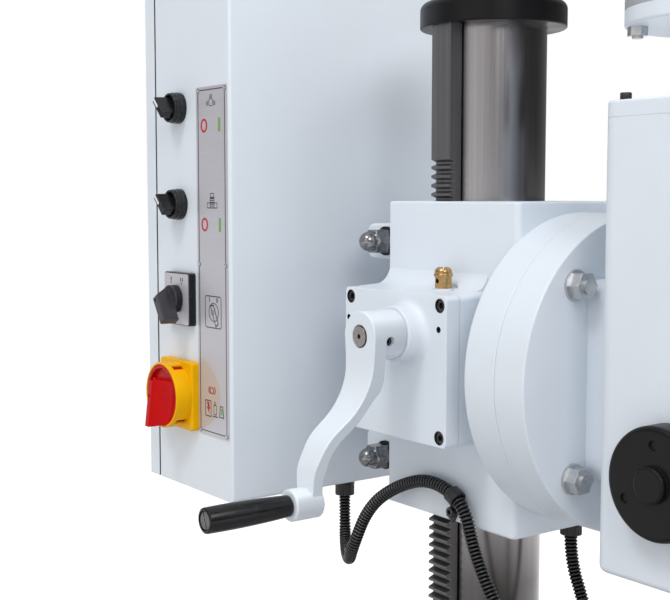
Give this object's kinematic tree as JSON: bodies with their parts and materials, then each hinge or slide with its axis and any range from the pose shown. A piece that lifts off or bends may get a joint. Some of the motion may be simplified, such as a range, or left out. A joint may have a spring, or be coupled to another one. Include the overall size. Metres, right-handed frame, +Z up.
{
  "type": "pillar drill",
  "caption": "Pillar drill with a rack-and-worm lifted head carriage, swivelling gear head, geared spindle with capstan feed, side electrical cabinet and T-slotted base.",
  "frame": {"origin": "column axis on the floor, in the plane of the base's underside", "axes": "+Z up along the column, -Y towards the operator and the spindle, -X to the operator's left where the crank and switches are"},
  "size_m": [0.5216, 0.7876, 1.354],
  "materials": {
    "cast_paint": "satin enamel over a lightly textured casting",
    "sheet_paint": "smooth satin enamel on sheet steel",
    "ground_steel": "ground and polished",
    "rack_steel": "milled, slightly oily",
    "bright_steel": "polished",
    "zinc_steel": "zinc plated",
    "dark_steel": "blackened",
    "brass": "satin",
    "black_satin": "satin",
    "black_plastic": "fine satin",
    "black_gloss": "polished",
    "black_rubber": "satin",
    "grey_plastic": "matte",
    "yellow_plastic": "satin",
    "red_plastic": "satin",
    "label_aluminium": "anodised, printed symbols",
    "motor_aluminium": "satin enamel on cast aluminium"
  },
  "bodies": {
    "frame": {"base_plate": "cast_paint", "column_foot": "cast_paint", "foot_bolts": "zinc_steel", "column": "ground_steel", "rack_ring": "dark_steel", "rack": "rack_steel", "column_cap": "black_satin"},
    "carriage": {"carriage": "cast_paint", "gearbox_cover": "cast_paint", "m6_screws": "dark_steel", "oiler": "brass", "clamp_studs": "zinc_steel", "clamp_washers": "dark_steel", "dome_nuts": "bright_steel", "p_clip": "black_rubber", "clip_screw": "dark_steel", "cabinet_bracket": "sheet_paint", "cabinet_body": "sheet_paint", "din_rail_panel": "zinc_steel", "contactors": "grey_plastic", "label_strip": "label_aluminium", "selector_bezels": "black_plastic", "cam_switch_base": "black_plastic", "cam_switch_plate": "label_aluminium", "isolator_base": "yellow_plastic", "glands": "black_plastic", "conduit": "black_rubber"},
    "lift_wheel": {"pinion_shaft": "dark_steel", "worm_wheel": "brass"},
    "crank": {"worm_shaft": "bright_steel", "crank_arm": "cast_paint", "crank_set_screw": "dark_steel", "grip_pin": "bright_steel"},
    "crank_grip": {"grip": "black_gloss"},
    "upper_selector": {"selector_knob_upper": "black_plastic"},
    "lower_selector": {"selector_knob_lower": "black_plastic"},
    "cam_handle": {"cam_switch_handle": "black_plastic"},
    "isolator": {"isolator_handle": "red_plastic"},
    "door": {"cabinet_door": "sheet_paint"},
    "lock": {"door_lock": "zinc_steel"},
    "head": {"head_casting": "cast_paint", "flange_bolts": "zinc_steel", "head_cover": "cast_paint", "cover_screws": "dark_steel", "motor_body": "motor_aluminium", "motor_bolts": "zinc_steel", "spring_housing": "black_satin"},
    "quill": {"quill": "ground_steel", "depth_stop": "bright_steel"},
    "spindle": {"spindle": "ground_steel", "chuck": "bright_steel", "chuck_jaws": "dark_steel"},
    "sleeve_gear": {"drive_gear": "dark_steel"},
    "rotor": {"motor_shaft": "bright_steel"},
    "capstan": {"feed_shaft": "bright_steel", "capstan_arms": "bright_steel", "capstan_knobs": "black_gloss"}
  },
  "joints": [
    {"name": "carriage_lift", "type": "slide", "parent": "frame", "child": "carriage", "axis": [0, 0, 1], "range_m": [-0.35, 0.14]},
    {"name": "lift_wheel_turn", "type": "hinge", "parent": "carriage", "child": "lift_wheel", "pos_m": [-0.0798, 0, 0.856], "axis": [0, 1, 0], "continuous": true},
    {"name": "crank_turn", "type": "hinge", "parent": "carriage", "child": "crank", "pos_m": [-0.15, -0.0318, 0.892], "axis": [1, 0, 0], "continuous": true},
    {"name": "grip_spin", "type": "hinge", "parent": "crank", "child": "crank_grip", "pos_m": [-0.28, -0.0318, 0.764], "axis": [1, 0, 0], "continuous": true},
    {"name": "upper_selector_turn", "type": "hinge", "parent": "carriage", "child": "upper_selector", "pos_m": [-0.1935, 0.2253, 1.0875], "axis": [1, 0, 0], "range_deg": [0, 90]},
    {"name": "lower_selector_turn", "type": "hinge", "parent": "carriage", "child": "lower_selector", "pos_m": [-0.1935, 0.2253, 0.9965], "axis": [1, 0, 0], "range_deg": [0, 90]},
    {"name": "cam_switch_turn", "type": "hinge", "parent": "carriage", "child": "cam_handle", "pos_m": [-0.1935, 0.2207, 0.9066], "axis": [1, 0, 0], "range_deg": [0, 64]},
    {"name": "isolator_turn", "type": "hinge", "parent": "carriage", "child": "isolator", "pos_m": [-0.1935, 0.2234, 0.8147], "axis": [1, 0, 0], "range_deg": [0, 90]},
    {"name": "door_swing", "type": "hinge", "parent": "carriage", "child": "door", "pos_m": [0.1995, 0.27255, 1], "axis": [0, 0, -1], "range_deg": [0, 115]},
    {"name": "lock_turn", "type": "hinge", "parent": "door", "child": "lock", "pos_m": [-0.165, 0.285, 1], "axis": [0, -1, 0], "range_deg": [0, 90]},
    {"name": "head_swivel", "type": "hinge", "parent": "carriage", "child": "head", "pos_m": [0, -0.1396, 0.863], "axis": [0, 1, 0], "range_deg": [-30, 30]},
    {"name": "quill_feed", "type": "slide", "parent": "head", "child": "quill", "axis": [0, 0, -1], "range_m": [0, 0.12], "stiffness_N_per_m": 400, "springref_m": -0.6},
    {"name": "capstan_turn", "type": "hinge", "parent": "head", "child": "capstan", "pos_m": [0, -0.27795, 0.81], "axis": [1, 0, 0], "range_deg": [-0.5, 405]},
    {"name": "rotor_spin", "type": "hinge", "parent": "head", "child": "rotor", "pos_m": [0, -0.2499, 1.1], "axis": [0, 0, 1], "continuous": true},
    {"name": "sleeve_gear_spin", "type": "hinge", "parent": "head", "child": "sleeve_gear", "pos_m": [0, -0.33, 1], "axis": [0, 0, 1], "continuous": true},
    {"name": "spindle_spin", "type": "hinge", "parent": "quill", "child": "spindle", "pos_m": [0, -0.33, 0.8], "axis": [0, 0, 1], "continuous": true}
  ],
  "couplings": [
    {"joint": "lift_wheel_turn", "follows": "carriage_lift", "rad_per_m": 47.059},
    {"joint": "crank_turn", "follows": "carriage_lift", "rad_per_m": -1505.9},
    {"joint": "capstan_turn", "follows": "quill_feed", "rad_per_m": 58.824},
    {"joint": "sleeve_gear_spin", "follows": "rotor_spin", "ratio": -0.33333},
    {"joint": "spindle_spin", "follows": "rotor_spin", "ratio": -0.33333}
  ]
}
